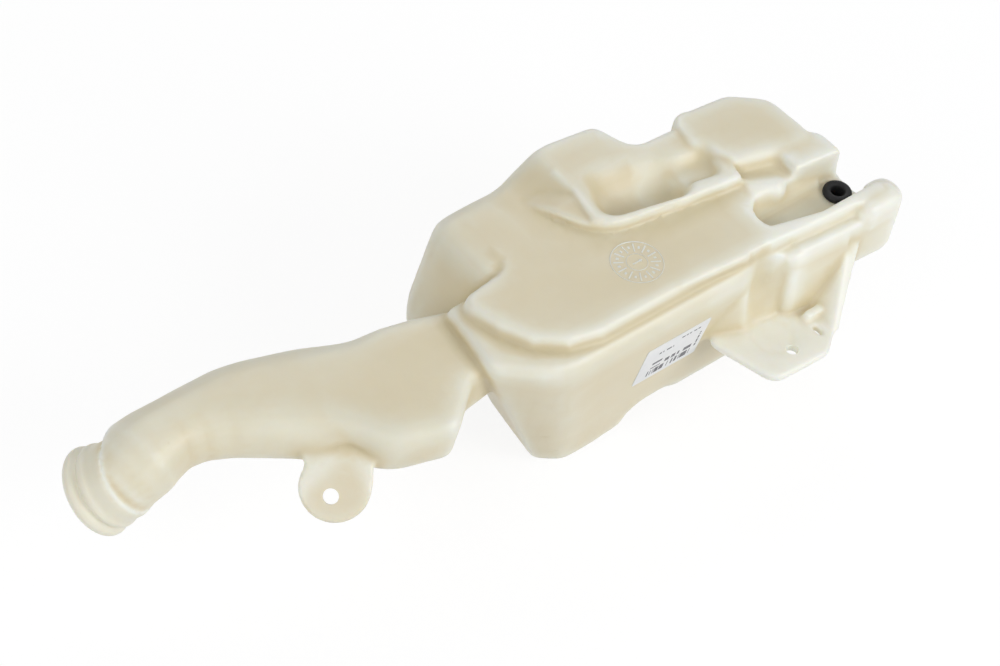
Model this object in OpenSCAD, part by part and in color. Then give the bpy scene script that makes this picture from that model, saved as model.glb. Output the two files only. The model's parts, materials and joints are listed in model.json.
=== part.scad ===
// Washer fluid reservoir: a blow moulded tank with a filler neck, a pump grommet and a paper label.
// Design axes: X runs along the tank to the pump end, Y from the front to the back, Z up from the underside.
// X = 0 is the left end wall, Y = 0 the front edge of the deck. The finished part is moved so that its
// origin lies on the axis of the foot's bolt hole, on the foot's upper face.

/* [Tank] */
// Wall thickness of the blown shell
wall = 2.6; // [1.8:0.1:3.6]
// Distance from the left end wall to the right end wall
tank_l = 194; // [188:1:210]
// Distance from the deck's front edge to the back wall
tank_d = 107; // [101:1:118]
// Height of the front ledge above the underside
ledge_h = 108; // [100:1:120]
// Width of the ledge in front of the deck
ledge_w = 10.5; // [9:0.5:14]
// Lean of the front wall, inward going down
front_lean = 9; // [4:0.5:11]
// Lean of the wall at the front left, inward going down
belly_lean = 16; // [10:1:18]
// Lean of the left end wall under the neck, inward going down
left_lean = 24; // [16:1:26]
// Draft of the other walls
side_draft = 2; // [0:0.5:4]
// Radius of the shoulder between the ledge and the front wall
shoulder_r = 9; // [5:0.5:11]
// Radius of the lower edges
base_r = 10; // [6:1:14]
// Width of the bay in the back wall
bay_w = 29; // [20:1:36]
// Depth of the bay in the back wall
bay_d = 26; // [15:1:32]
// Rise of the raised sill under the front, at the pump end
sill_h = 21; // [12:1:30]
// Depth of the raised sill, from the deck's front edge
sill_d = 34; // [20:1:45]
// Distance from the left end wall to the raised sill
sill_x = 58; // [50:1:80]

/* [Terraces] */
// Height of the deck above the ledge
deck_step = 7; // [4:0.5:10]
// Height of the upper terrace above the deck
upper_step = 7; // [4:0.5:10]
// Height of the end block above the deck
end_step = 9; // [5:0.5:12]
// Slope of the steps between terraces, from upright
step_slope = 18; // [8:1:25]
// Radius of the terraces' top edges
step_r = 3; // [1.5:0.5:4]
// Depth of the soft valley at the back edge
valley_depth = 3.5; // [2:0.5:5]
// Distance over which the valley fades out to the front
valley_l = 66; // [50:1:80]
// Lean of the lobe at the left end, outward going down
lobe_lean = 20; // [10:1:22]
// Height of the lobe's lower edge above the underside
lobe_low = 50; // [40:1:60]

/* [Recesses] */
// Depth of the top pocket below the upper terrace
pocket_depth = 20; // [12:1:26]
// Length of the top pocket
pocket_l = 54; // [46:1:58]
// Width of the top pocket
pocket_w = 23; // [16:1:25]
// Slope of the top pocket's back side, from upright
pocket_slope = 35; // [28:1:37]
// Turn of the top pocket in plan
pocket_turn = -10; // [-13:1:-6]
// Depth of the pump trough below the deck
trough_depth = 12; // [8:0.5:14]
// Width of the pump trough
trough_w = 29; // [26:1:31]
// Width of the pump trough at its open end
trough_end_w = 23; // [22:0.5:25]
// Distance from the right end wall to the trough's inner end
trough_l = 66; // [56:1:70]
// Radius of the upright groove in the front wall
groove_r = 11; // [7:0.5:12]
// Distance from the left end wall to the groove
groove_x = 123; // [118:1:126]
// Depth of the groove in the front wall
groove_depth = 7; // [4:0.5:8]

/* [Pump side bar] */
// Distance that the bar stands out past the right end wall
bar_out = 16; // [10:1:20]
// Height of the bar, from its lower edge to its top
bar_h = 42.5; // [36:0.5:43]
// Radius of the bar's top edges
bar_r = 5; // [3:0.5:6]
// Thickness of the bar
bar_t = 20; // [17:0.5:22]
// Distance that the knuckle stands out in front of the ledge's edge
knuckle_out = 3.5; // [2:0.5:5]

/* [Foot] */
// Height of the foot's upper face above the underside
foot_h = 67; // [60:1:72]
// Thickness of the foot
foot_t = 5; // [4:0.5:7]
// Distance from the deck's front edge to the foot's front edge
foot_out = 46; // [42:1:52]
// Diameter of the foot's bolt hole
foot_hole_d = 6.5; // [5:0.5:8]
// Distance from the left end wall to the foot's bolt hole
foot_hole_x = 122; // [119:1:126]
// Distance from the deck's front edge to the foot's bolt hole
foot_hole_y = 35; // [32:1:37]
// Thickness of the fin between the foot and the bar, at the foot
fin_t = 5; // [4:0.5:7]
// Height of the fin above the foot
fin_h = 26; // [20:1:30]
// Length of the small slot beside the fin
slot_l = 7; // [5:0.5:8]
// Width of the small slot beside the fin
slot_w = 2.5; // [1.5:0.5:3.5]
// Height of the stop block beside the fin
stop_h = 4; // [2:0.5:6]

/* [Neck] */
// Height of the neck block's top below the ledge
neck_drop = 8; // [5:0.5:10]
// Height of the neck block
neck_block_h = 33; // [30:1:36]
// Outer radius of the round part of the neck
neck_r = 17; // [16:0.5:18]
// Distance from the left end wall to the middle of the mouth
mouth_x = 208.5; // [205:0.5:212]
// Distance from the deck's front edge to the middle of the mouth
mouth_y = 81.5; // [79:0.5:84]
// Height of the middle of the mouth above the underside
mouth_z = 64; // [58:1:68]
// Turn of the mouth's axis in plan
mouth_turn = 145; // [141:1:149]
// Dip of the mouth's axis below level
mouth_dip = 42; // [38:1:46]

/* [Mouth] */
// Diameter of the filler bore
mouth_d = 33; // [32:0.5:34]
// Length of the straight filler bore
mouth_l = 19; // [15:1:21]
// Height of the mouth's bead over the collar
bead_h = 2.6; // [1.5:0.1:3.2]
// Width of the mouth's bead
bead_w = 7; // [4:0.5:8]

/* [Tab] */
// Diameter of the tab's bolt hole
tab_hole_d = 7.5; // [6:0.5:9]
// Width of the tab
tab_w = 34; // [28:1:36]
// Thickness of the tab
tab_t = 4.5; // [3.5:0.5:6]
// Tilt of the tab from level
tab_tilt = 40; // [35:1:45]
// Turn of the tab in plan
tab_turn = -46; // [-50:1:-42]

/* [Grommet] */
// Diameter of the hole in the tank for the grommet
grommet_hole_d = 11; // [10:0.5:12]
// Diameter of the grommet's flange
grommet_flange_d = 15; // [14:0.5:16]
// Diameter of the grommet's bore
grommet_bore_d = 6.5; // [5:0.5:7]
// Thickness of the grommet's flange
grommet_flange_t = 3; // [2:0.5:4]

/* [Label] */
// Length of the label
label_l = 41; // [34:1:42]
// Height of the label
label_h = 32; // [26:1:36]
// Thickness of the label
label_t = 0.3; // [0.2:0.05:0.5]
// Distance from the left end wall to the middle of the label
label_x = 68; // [60:1:68]
// Distance from the ledge down to the label's upper edge, along the wall
label_down = 23; // [16:1:26]

/* [Hidden] */
$fn = 48;

// Steps in each rounded corner and edge, outside and in the cavity
outer_steps = 3;
cavity_steps = 2;
// Smallest radius left on a corner that a wall takes up
least_r = 0.5;
// Extra reach of a cutter past the face it opens
past = 12;

deck_h = ledge_h + deck_step;
upper_h = deck_h + upper_step;
end_h = deck_h + end_step;
neck_top = ledge_h - neck_drop;
trough_floor = deck_h - trough_depth;
trough_x = tank_l - trough_l;
front_y = -ledge_w;
bay_x = 99;

// Plan outlines, anticlockwise: [x, y, corner radius, lean of the wall that starts here]
body_outline = [
    [4, front_y, 30, front_lean],
    [tank_l, front_y, 14, side_draft],
    [tank_l, 36, 10, side_draft],
    [tank_l - 11, tank_d - 34, 16, side_draft],
    [bay_x + bay_w, tank_d - 25, 8, side_draft],
    [bay_x + 5, tank_d - bay_d, 10, side_draft],
    [bay_x, tank_d - 5, 8, side_draft],
    [48, tank_d, 12, side_draft],
    [2, tank_d - 11, 10, belly_lean]
];
belly_outline = [
    [-8, front_y, 38, front_lean],
    [70, front_y, 6, 0],
    [70, 57, 6, side_draft],
    [-34, 57, 8, left_lean],
    [-39, 14, 14, belly_lean]
];
deck_outline = [
    [-11, 0, 40, -step_slope],
    [tank_l - 4, 0, 10, 0],
    [tank_l - 4, 40, 10, 0],
    [tank_l - 20, tank_d - 30, 10, 0],
    [bay_x + bay_w, tank_d - 28, 8, 0],
    [bay_x + 4, tank_d - bay_d - 3, 10, 0],
    [bay_x - 3, tank_d - 8, 8, 0],
    [48, tank_d - 3, 12, 0],
    [5, tank_d - 14, 8, 0],
    [5, 55, 8, 0],
    [-27, 51, 6, -step_slope]
];
upper_outline = [
    [57, 39, 16, -step_slope],
    [tank_l - 60, 33, 6, -step_slope],
    [bay_x + bay_w + 4, tank_d - 30, 6, 0],
    [bay_x + 4, tank_d - bay_d - 3, 10, 0],
    [bay_x - 3, tank_d - 7, 8, 0],
    [46, tank_d - 1.5, 9, 0],
    [31, 84, 20, -step_slope]
];
end_outline = [
    [tank_l - 55, 42, 8, -step_slope],
    [tank_l - 8, 31, 8, 0],
    [tank_l - 10, tank_d - 41, 12, 0],
    [tank_l - 28, tank_d - 27, 10, 0],
    [bay_x + bay_w + 2, tank_d - 24, 8, 0],
    [bay_x + bay_w - 2, tank_d - 44, 8, -step_slope]
];
lobe_outline = [
    [-7, 52, 6, 0],
    [52, 52, 6, 0],
    [52, tank_d - 5, 10, 0],
    [-7, tank_d - 6, 12, -lobe_lean]
];
lump_outline = [
    [tank_l - 32, 10, 4, 0],
    [tank_l - 2, 10, 5, 0],
    [tank_l - 3, 40, 8, 0],
    [tank_l - 32, 40, 6, 0]
];
trough_outline = [
    [trough_x, -2, 14, 5],
    [tank_l + 0.8, -3, 3, 0],
    [tank_l + 0.8, trough_end_w - 3, 3, 5],
    [trough_x, trough_w - 2, 14, 5]
];
sill_outline = [
    [sill_x, front_y - past, 6, 0],
    [tank_l + past, front_y - past, 6, 0],
    [tank_l + past, sill_d, 6, 20],
    [sill_x, sill_d, 8, 20]
];
bar_outline = [
    [groove_x + groove_r + 2, -12, 5, 0],
    [tank_l + bar_out, 4 - bar_t, 8.5, 0],
    [tank_l + bar_out, 4, 8, 0],
    [trough_x + 12, 4, 6, 0]
];
knuckle_outline = [
    [groove_x + groove_r + 1, front_y - knuckle_out, 5, -3],
    [tank_l - 14, front_y - knuckle_out - 3, 6, 0],
    [tank_l - 14, 4, 5, 0],
    [groove_x + groove_r + 1, 4, 5, 0]
];
neck_outline = [
    [-64, -1, 9, 6],
    [-41, 18, 8, 4],
    [-14, 22, 4, 0],
    [-14, 56, 4, 0],
    [-44, 66, 10, 2],
    [-106, 80, 10, 2],
    [-118, 62, 10, 0],
    [-112, 36, 10, 6],
    [-95, 7, 9, 6]
];
foot_outline = [
    [90, front_y + 4, 3, 0],
    [102, -foot_out + 1, 9, 0],
    [137, -foot_out, 8, 0],
    [148, -foot_out + 8, 7, 0],
    [153, front_y + 4, 3, 0]
];

// Places of the bolt holes, the grommet and the mouth
foot_hole = [foot_hole_x, -foot_hole_y, foot_h];
tab_hole = [-122, 17, neck_top - 30];
grommet_at = [tank_l - 10.5, 9.5, trough_floor];
mouth_at = [-mouth_x, mouth_y, mouth_z];
mouth_axis = [cos(mouth_turn) * cos(mouth_dip), sin(mouth_turn) * cos(mouth_dip), -sin(mouth_dip)];

function unit(v) = v / norm(v);
function outward(d) = [d.y, -d.x];

// Points of one rounded corner, with the edges before and after it moved in by e1 and e2
function corner_arc(p0, p1, p2, e1, e2, r, steps) =
    let (
        d1 = unit(p1 - p0),
        d2 = unit(p2 - p1),
        n1 = outward(d1),
        n2 = outward(d2),
        k = cross(n1, n2),
        turn = atan2(cross(d1, d2), d1 * d2),
        s = sign(turn),
        q = p1 + [e2 * n1.y - e1 * n2.y, e1 * n2.x - e2 * n1.x] / k,
        rr = max(r - s * (e1 + e2) / 2, least_r),
        c = q - d1 * rr * tan(abs(turn) / 2) - s * rr * n1,
        a = atan2(n1.y, n1.x)
    )
    [for (j = [0:steps]) c + s * rr * [cos(a + turn * j / steps), sin(a + turn * j / steps)]];

// One level of a solid: the outline at height z, moved in by e and by each wall's lean below the height top
function level(outline, z, e, top, steps) =
    let (
        n = len(outline),
        inset = [for (c = outline) e + tan(c[3]) * (top - z)]
    )
    [for (i = [0:n - 1])
        let (
            before = outline[(i + n - 1) % n],
            here = outline[i],
            after = outline[(i + 1) % n]
        )
        each [for (p = corner_arc([before.x, before.y], [here.x, here.y], [after.x, after.y],
                                  inset[(i + n - 1) % n], inset[i], here[2], steps)) [p.x, p.y, z]]
    ];

// Heights and insets of a solid from z0 to z1, with rounded lower and upper edges
function rounded_levels(z0, z1, r0, r1, steps) = concat(
    [for (j = [0:steps]) [z0 + r0 * (1 - cos(90 * j / steps)), r0 * (1 - sin(90 * j / steps))]],
    [for (j = [0:steps]) [z1 - r1 * (1 - sin(90 * j / steps)), r1 * (1 - cos(90 * j / steps))]]
);

// A closed solid through rings of equally many points, capped from the middle of each end ring
module skin(rings, first_hub, last_hub) {
    n = len(rings);
    m = len(rings[0]);
    points = concat([for (r = rings) each r], [first_hub, last_hub]);
    sides = [for (i = [0:n - 2], j = [0:m - 1])
        let (
            a = i * m + j,
            b = i * m + (j + 1) % m
        )
        each [[a, a + m, b + m], [a, b + m, b]]
    ];
    first_cap = [for (j = [0:m - 1]) [n * m, j, (j + 1) % m]];
    last_cap = [for (j = [0:m - 1]) [n * m + 1, (n - 1) * m + (j + 1) % m, (n - 1) * m + j]];
    polyhedron(points, concat(sides, first_cap, last_cap));
}

function middle(outline) =
    let (n = len(outline))
    [for (axis = [0:1]) [for (c = outline) c[axis]] * [for (c = outline) 1] / n];

// A solid on an outline, with leaning walls and rounded edges. grow moves every face out, or in if negative.
module block(outline, z0, z1, r0, r1, grow = 0, hub = undef) {
    h = is_undef(hub) ? middle(outline) : hub;
    steps = grow < 0 ? cavity_steps : outer_steps;
    levels = rounded_levels(z0 - grow, z1 + grow, max(r0 + grow, least_r), max(r1 + grow, least_r), steps);
    rings = [for (l = levels) level(outline, l[0], l[1] - grow, z1, steps)];
    skin(rings, [h.x, h.y, z0 - grow], [h.x, h.y, z1 + grow]);
}

// Middle line of the neck, a curve from the neck block to the collar, and its direction
neck_start = [-84, 47, neck_top - 18];
collar_r = mouth_d / 2 + wall;
collar_l = mouth_l + 3;
neck_end = mouth_at - (mouth_l - 5) * mouth_axis;
neck_heading = unit([-1, 0.64, 0.03]);
neck_p1 = neck_start + 96 * neck_heading;
neck_p2 = neck_end - 17 * mouth_axis;

function neck_point(t) =
    pow(1 - t, 3) * neck_start + 3 * t * pow(1 - t, 2) * neck_p1
    + 3 * t * t * (1 - t) * neck_p2 + pow(t, 3) * neck_end;
function neck_direction(t) = unit(
    pow(1 - t, 2) * (neck_p1 - neck_start) + 2 * t * (1 - t) * (neck_p2 - neck_p1) + t * t * (neck_end - neck_p2)
);
function ease(t) = t * t * (3 - 2 * t);
function mix(a, b, t) = a + (b - a) * t;

// One ring of the neck: boxy and wide at the block, then round, full at the elbow and flared into the collar
function neck_ring(t, inset) =
    let (
        s = ease(min(1, t / 0.5)),
        flare = (collar_r - 0.9 - neck_r) * ease(max(0, (t - 0.8) / 0.2)),
        elbow = 3 * exp(-pow((t - 0.72) / 0.16, 2)),
        half_w = mix(29, neck_r, s) + flare + elbow - inset,
        half_h = mix(17.5, neck_r, s) + flare + elbow - inset,
        power = mix(0.62, 1, s),
        along = neck_direction(t),
        across = unit(cross([0, 0, 1], along)),
        up = cross(along, across)
    )
    [for (j = [0:23])
        let (
            c = cos(j * 15),
            s2 = sin(j * 15)
        )
        neck_point(t)
        + half_w * sign(c) * pow(abs(c), power) * across
        + half_h * sign(s2) * pow(abs(s2), power) * up
    ];

module neck_tube(inset = 0, from = 0, to = 1) {
    steps = 10;
    rings = [for (i = [0:steps]) neck_ring(mix(from, to, i / steps), inset)];
    skin(rings, neck_point(from), neck_point(to));
}

// Places its children at the mouth, with +Z along the mouth's axis
module at_mouth() {
    translate(mouth_at) rotate([0, 90 + mouth_dip, mouth_turn]) children();
}

// Collar, bead and lip round the mouth, with a narrow hole that the filler bore widens
module mouth_collar() {
    at_mouth() rotate_extrude() polygon([
        [collar_r, -collar_l],
        [collar_r, -bead_w - 6],
        [collar_r + bead_h * 0.5, -bead_w - 4.5],
        [collar_r + bead_h * 0.5, -bead_w - 2.5],
        [collar_r, -bead_w - 1],
        [collar_r, -bead_w],
        [collar_r + bead_h, -bead_w + 2],
        [collar_r + bead_h, -2.5],
        [collar_r + bead_h - 1.5, -0.6],
        [collar_r + bead_h - 2.5, 0],
        [mouth_d / 2 - 3, 0],
        [mouth_d / 2 - 3, -collar_l]
    ]);
}

module valley(grow = 0) {
    valley_r = 30;
    translate([33, tank_d, deck_h + valley_r - valley_depth]) rotate([90 - atan(valley_depth / valley_l), 0, 8])
        translate([0, 0, -past]) cylinder(r = valley_r + grow, h = valley_l + past + grow);
}

module groove(grow = 0) {
    translate([groove_x, front_y - groove_r + groove_depth, foot_h - 20])
        rotate([front_lean, 0, 0]) translate([0, 0, -grow])
            cylinder(r = groove_r + grow, h = ledge_h - foot_h + 17 + 2 * grow);
}

// The top pocket, deep at its left and shallow at its right, turned in plan
module pocket(grow = 0) {
    shallow_l = 18;
    deep_l = pocket_l - shallow_l;
    half = pocket_w / 2;
    translate([60, 61, 0]) rotate([0, 0, pocket_turn]) {
        block([[0, -half, 10, 14], [deep_l, -half, 4, 14], [deep_l, half + 15, 4, pocket_slope], [0, half + 15, 10, 14]],
              upper_h - pocket_depth, upper_h + past, 6, 1, grow, [deep_l * 0.4, 2]);
        block([[deep_l - 8, -half + 2, 3, 14], [pocket_l, -half + 3, 5, 14],
               [pocket_l, half - 3, 5, 14], [deep_l - 8, half - 2, 3, 14]],
              upper_h - pocket_depth * 0.5, upper_h + past, 3, 1, grow);
    }
}

// The outer form of the hollow part of the tank, or its cavity where grow is minus the wall
module hollow_form(grow = 0) {
    body_hub = [88, 40];
    block(body_outline, 0, ledge_h, base_r, shoulder_r, grow, body_hub);
    block(belly_outline, 0, ledge_h, base_r, shoulder_r, grow);
    block(deck_outline, ledge_h - 20, deck_h, 2, step_r, grow, body_hub);
    block(upper_outline, ledge_h - 16, upper_h, 2, step_r, grow);
    block(end_outline, ledge_h - 17, end_h, 2, step_r, grow);
    block(lump_outline, ledge_h - 15, end_h - 2, 2, step_r, grow);
    block(lobe_outline, lobe_low, deck_h - 1, 16, 8, grow);
    block(bar_outline, deck_h - 4 - bar_h, deck_h - 4, 9, bar_r, grow, [tank_l - 30, -3]);
    block(knuckle_outline, foot_h - 4, deck_h - 17, 3, 7, grow);
    block(neck_outline, neck_top - neck_block_h, neck_top, 8, 7, grow, [-75, 40]);
}

module recesses(grow = 0) {
    block(trough_outline, trough_floor, deck_h + past, 3, 1, grow);
    block(sill_outline, -past, sill_h, 1, 8, grow);
    groove(grow);
    pocket(grow);
    valley(grow);
}

// The fin that slopes up from the foot's right edge to the underside of the bar
module fin() {
    low = foot_h - foot_t / 2;
    high = foot_h + fin_h;
    skin([
        [[146, 7 - foot_out, low], [146 + fin_t, 7 - foot_out, low], [160, -6, low], [146, -6, low]],
        [[169, front_y - 6, high], [169 + 2 * fin_t, front_y - 6, high], [179, -4, high], [166, -4, high]]
    ], [150, -20, low], [172, -10, high]);
}

// The foot with its slot, its stop block and the fin
module foot() {
    difference() {
        block(foot_outline, foot_h - foot_t, foot_h, 1, 1);
        translate([141.5 - slot_w / 2, -29 - slot_l, foot_h - foot_t - 1]) cube([slot_w, slot_l, foot_t + 2]);
    }
    translate([140, -26, foot_h - foot_t / 2]) cube([9, 4, stop_h + foot_t / 2]);
    fin();
}

module tab() {
    reach = 40;
    above_hole = 5;
    translate(tab_hole) rotate([tab_tilt, 0, tab_turn]) translate([0, 0, -tab_t]) linear_extrude(tab_t) {
        translate([1, above_hole]) circle(d = tab_w);
        translate([1 - tab_w / 2, above_hole]) square([tab_w, reach - above_hole]);
    }
}

module bolt_holes() {
    translate(foot_hole) translate([0, 0, -foot_t - 1]) cylinder(d = foot_hole_d, h = foot_t + 2);
    translate(tab_hole) rotate([tab_tilt, 0, tab_turn]) translate([0, 0, -tab_t - 1])
        cylinder(d = tab_hole_d, h = tab_t + 2);
}

// Everything is placed from the foot's bolt hole
module in_frame() {
    translate(-foot_hole) children();
}

// The blown shell: the outer form with its recesses, foot, tab and collar, less the cavity
module shell() {
    difference() {
        union() {
            difference() {
                union() {
                    hollow_form();
                    neck_tube();
                }
                recesses();
            }
            foot();
            tab();
            mouth_collar();
        }
        difference() {
            union() {
                hollow_form(-wall);
                neck_tube(wall, 0.1, 1);
            }
            recesses(wall);
        }
    }
}

// The shell is one skin of flat facets: resize with no sizes given keeps its shape.
// Every bore is a true round.
module tank() {
    color("cornsilk") in_frame() difference() {
        resize([0, 0, 0]) shell();
        at_mouth() translate([0, 0, -mouth_l]) cylinder(d = mouth_d, h = mouth_l + 1);
        translate(grommet_at) translate([0, 0, -wall - 1]) cylinder(d = grommet_hole_d, h = wall + 2);
        bolt_holes();
    }
}

module pump_grommet() {
    bore_r = grommet_bore_d / 2;
    neck = grommet_hole_d / 2;
    flange = grommet_flange_d / 2;
    lip = neck + 0.8;
    color("black") in_frame() translate(grommet_at) rotate_extrude() polygon([
        [bore_r, -wall - 3],
        [neck - 0.3, -wall - 3],
        [lip, -wall - 0.8],
        [lip, -wall],
        [neck, -wall],
        [neck, 0],
        [flange, 0],
        [flange, grommet_flange_t - 1],
        [flange - 1, grommet_flange_t],
        [bore_r + 1.2, grommet_flange_t],
        [bore_r, grommet_flange_t - 1.2]
    ]);
}

module label() {
    color("white") in_frame() translate([label_x, front_y, ledge_h]) rotate([front_lean, 0, 0])
        translate([-label_l / 2, -label_t, -label_down - label_h]) cube([label_l, label_t, label_h]);
}

tank();
pump_grommet();
label();
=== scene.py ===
import json
import math

import bmesh
import bpy
import numpy as np
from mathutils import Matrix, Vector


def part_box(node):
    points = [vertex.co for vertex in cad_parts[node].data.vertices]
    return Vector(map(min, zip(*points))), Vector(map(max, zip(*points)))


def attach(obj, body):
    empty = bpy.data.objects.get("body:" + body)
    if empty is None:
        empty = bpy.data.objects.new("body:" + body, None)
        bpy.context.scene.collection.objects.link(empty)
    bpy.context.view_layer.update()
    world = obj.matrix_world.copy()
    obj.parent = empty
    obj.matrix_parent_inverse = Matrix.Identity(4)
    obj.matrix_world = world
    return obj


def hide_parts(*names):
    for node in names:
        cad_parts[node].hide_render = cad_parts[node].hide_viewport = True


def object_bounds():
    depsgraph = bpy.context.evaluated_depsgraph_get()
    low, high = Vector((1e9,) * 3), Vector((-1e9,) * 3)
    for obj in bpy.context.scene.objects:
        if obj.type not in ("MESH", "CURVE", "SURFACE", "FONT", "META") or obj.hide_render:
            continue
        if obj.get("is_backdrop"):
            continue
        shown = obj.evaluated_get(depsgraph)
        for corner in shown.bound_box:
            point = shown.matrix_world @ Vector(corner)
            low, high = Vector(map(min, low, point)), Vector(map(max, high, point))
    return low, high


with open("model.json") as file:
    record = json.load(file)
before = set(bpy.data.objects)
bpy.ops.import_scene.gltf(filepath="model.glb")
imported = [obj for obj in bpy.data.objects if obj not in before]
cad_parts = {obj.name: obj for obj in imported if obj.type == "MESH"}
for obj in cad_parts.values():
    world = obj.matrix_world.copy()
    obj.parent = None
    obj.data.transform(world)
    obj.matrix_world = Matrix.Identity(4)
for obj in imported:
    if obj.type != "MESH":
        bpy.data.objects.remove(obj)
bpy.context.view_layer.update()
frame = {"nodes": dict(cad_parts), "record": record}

import openvdb
from mathutils import Matrix, Vector

MM = 0.001
# Design point (in mm, from the tank's left front lower corner) that is the frame's origin
ORIGIN = np.array((122.0, -35.0, 67.0))
FLOOR_Z = -ORIGIN[2] * MM

# The smoothed skin: voxel size and blurs in mm, the field's band in voxels, how far flat faces merge
VOXEL = 1.15
BAND = 10
SOFT_BLUR, CRISP_BLUR = 1.15, 0.7
SKIN_FLATTEN, CAVITY_FLATTEN = 0.03, 0.02
# The tank's wall, and the least that the sculpted skin leaves of it, in mm
WALL, LEAST_WALL = 2.6, 1.6

# Levels of the tank, its front wall at the ledge, and the wall's lean in degrees
FOOT_H, TROUGH_FLOOR, LEDGE_H, DECK_H, UPPER_H = 67.0, 103.0, 108.0, 115.0, 122.0
FRONT_Y, FRONT_LEAN = -10.5, 9.0
GROMMET_HOLE_R = 5.5
# Sides of the turned forms, and the angles in degrees above which an edge is shaded sharp
COLLAR_SIDES, HOLE_SIDES, GROMMET_SIDES = 120, 64, 96
TANK_SHARP, DIAL_SHARP, GROMMET_SHARP, LABEL_SHARP = 38, 60, 50, 30
# Points of the finished tank nearer than this, in mm, are merged
SLIVER = 0.01
# Broad rounds: a box of design mm, the fade round it and the blur in it
BROAD_ROUNDS = (
    ((-112, 8, 74), (-78, 90, 110), 22, 5.5),
    ((10, 84, 100), (50, 115, 130), 20, 4.5),
    ((130, 34, 112), (180, 80, 130), 12, 2.2),
    ((48, -14, 4), (78, 40, 30), 12, 4.5),
    ((-45, -14, 96), (112, -8, 106), 7, 3.2),
)
MOUNTS = {m["name"]: m for m in frame["record"]["mounts"]}
# Radius of each bore in the tank
BORE_R = {name: MOUNTS[name]["dims"]["r_mm"] for name in ("foot_hole", "tab_hole", "filler_mouth")}
BORE_R["pump_bore"] = GROMMET_HOLE_R


def to_model(points):
    """Design millimetres to the frame's metres."""
    return (np.asarray(points, float) - ORIGIN) * MM


def unit(v):
    """The vector at length 1."""
    v = np.asarray(v, float)
    return v / np.linalg.norm(v)


# Meshes

def new_object(name, points, faces, smooth_angle=None):
    """An object in the scene from points in metres, smooth up to an angle where one is given."""
    mesh = bpy.data.meshes.new(name)
    mesh.from_pydata([tuple(p) for p in points], [], [tuple(int(i) for i in f) for f in faces])
    mesh.update()
    obj = bpy.data.objects.new(name, mesh)
    bpy.context.scene.collection.objects.link(obj)
    if smooth_angle is not None:
        shade(obj, smooth_angle)
    return obj


def shade(obj, angle):
    """Smooth shading, with edges sharper than the angle in degrees kept."""
    mesh = obj.data
    mesh.polygons.foreach_set("use_smooth", np.ones(len(mesh.polygons), bool))
    mesh.set_sharp_from_angle(angle=math.radians(angle))
    mesh.update()


def triangles_of(obj):
    """The points and triangles of an object's mesh."""
    mesh = obj.data
    mesh.calc_loop_triangles()
    co = np.empty(len(mesh.vertices) * 3, np.float32)
    mesh.vertices.foreach_get("co", co)
    tri = np.empty(len(mesh.loop_triangles) * 3, np.int32)
    mesh.loop_triangles.foreach_get("vertices", tri)
    return co.reshape(-1, 3).astype(float), tri.reshape(-1, 3)


def welded(co, tri):
    """The surface with points joined that agree to a tenth of a micrometre."""
    key = np.round(co * 1e7).astype(np.int64)
    _, first, back = np.unique(key, axis=0, return_index=True, return_inverse=True)
    tri = back.reshape(-1)[tri]
    full = (tri[:, 0] != tri[:, 1]) & (tri[:, 1] != tri[:, 2]) & (tri[:, 2] != tri[:, 0])
    return co[first], tri[full]


def group_labels(count, tri):
    """The lowest vertex that each vertex is joined to."""
    label = np.arange(count)
    while True:
        low = label[tri].min(axis=1)
        new = label.copy()
        for k in range(3):
            np.minimum.at(new, tri[:, k], low)
        new = new[new]
        if (new == label).all():
            return label
        label = new


def capped(co, tri):
    """The surface with a fan of triangles over each open loop."""
    half = {(int(a), int(b)) for t in tri for a, b in ((t[0], t[1]), (t[1], t[2]), (t[2], t[0]))}
    follow = {a: b for a, b in half if (b, a) not in half}
    points, faces = list(co), [tuple(t) for t in tri]
    while follow:
        start = next(iter(follow))
        loop, here = [], start
        while here in follow:
            loop.append(here)
            here = follow.pop(here)
        hub = len(points)
        points.append(np.mean([co[i] for i in loop], axis=0))
        faces += [(loop[(k + 1) % len(loop)], loop[k], hub) for k in range(len(loop))]
    return np.array(points), np.array(faces)


def compact(co, tri):
    """The triangles with only the points that they use."""
    used, back = np.unique(tri, return_inverse=True)
    return co[used], back.reshape(-1, 3)


def off_axis(points, point, axis):
    """Distance of each point from an axis, and its place along it."""
    rel = points - point
    along = rel @ axis
    return np.linalg.norm(rel - np.outer(along, axis), axis=1), along


def spokes_round(axis, count):
    """Directions out from an axis, evenly round it."""
    off = (0.3, 0.2, 0.9) if abs(axis[2]) < 0.9 else (1, 0, 0)
    side = unit(np.cross(axis, off))
    other = np.cross(axis, side)
    turns = [2 * math.pi * i / count for i in range(count)]
    return [math.cos(a) * side + math.sin(a) * other for a in turns]


def lathe(name, profile, point, axis, sides):
    """A solid turned from a closed profile of [radius, height] in mm, placed in the frame."""
    axis = unit(axis)
    n = len(profile)
    points, faces = [], []
    for out in spokes_round(axis, sides):
        points += [np.asarray(point) + MM * (r * out + h * axis) for r, h in profile]
    for i in range(sides):
        j = (i + 1) % sides
        for k in range(n):
            m = (k + 1) % n
            faces.append((i * n + k, j * n + k, j * n + m, i * n + m))
    return new_object(name, points, faces)


def rod(name, point, axis, radius, low, high, sides=96):
    """A closed cylinder round the axis, from low to high along it, in mm."""
    axis = unit(axis)
    points = []
    for h in (low, high):
        points += [np.asarray(point) + MM * (radius * out + h * axis) for out in spokes_round(axis, sides)]
    faces = [(i, (i + 1) % sides, sides + (i + 1) % sides, sides + i) for i in range(sides)]
    faces += [tuple(range(sides - 1, -1, -1)), tuple(range(sides, 2 * sides))]
    return new_object(name, points, faces)


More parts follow.
